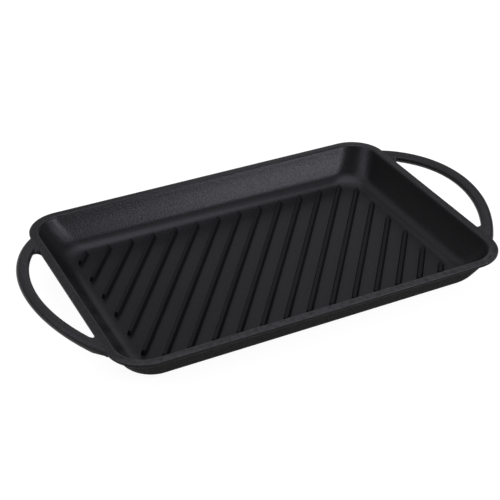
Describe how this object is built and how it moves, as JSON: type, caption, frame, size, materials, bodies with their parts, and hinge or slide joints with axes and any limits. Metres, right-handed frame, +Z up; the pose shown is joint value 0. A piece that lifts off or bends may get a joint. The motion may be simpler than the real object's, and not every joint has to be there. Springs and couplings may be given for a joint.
{
  "type": "grill pan",
  "caption": "Rectangular cast-iron grill pan with sloping walls, slanted raised ribs across its floor and a fixed loop handle at each short end.",
  "frame": {"origin": "centre of the flat underside, where the pan stands on the hob", "axes": "+X along the long side, towards the right handle; +Y towards the back long wall; +Z up out of the open tray"},
  "size_m": [0.3942, 0.224, 0.0377],
  "materials": {
    "tray": "matte black, fine sand-cast grain",
    "ribs": "matte black, smoother along the tops",
    "handles": "matte black, fine sand-cast grain"
  },
  "bodies": {
    "root": {"floor_plate": "tray", "front_wall": "tray", "back_wall": "tray", "left_wall": "tray", "right_wall": "tray", "front_left_corner": "tray", "front_right_corner": "tray", "back_left_corner": "tray", "back_right_corner": "tray", "left_handle": "handles", "right_handle": "handles", "rib_1": "ribs", "rib_2": "ribs", "rib_3": "ribs", "rib_4": "ribs", "rib_5": "ribs", "rib_6": "ribs", "rib_7": "ribs", "rib_8": "ribs", "rib_9": "ribs", "rib_10": "ribs", "rib_11": "ribs", "rib_12": "ribs", "rib_13": "ribs", "rib_14": "ribs", "rib_15": "ribs", "rib_16": "ribs", "rib_17": "ribs", "rib_18": "ribs", "rib_19": "ribs"}
  },
  "joints": []
}
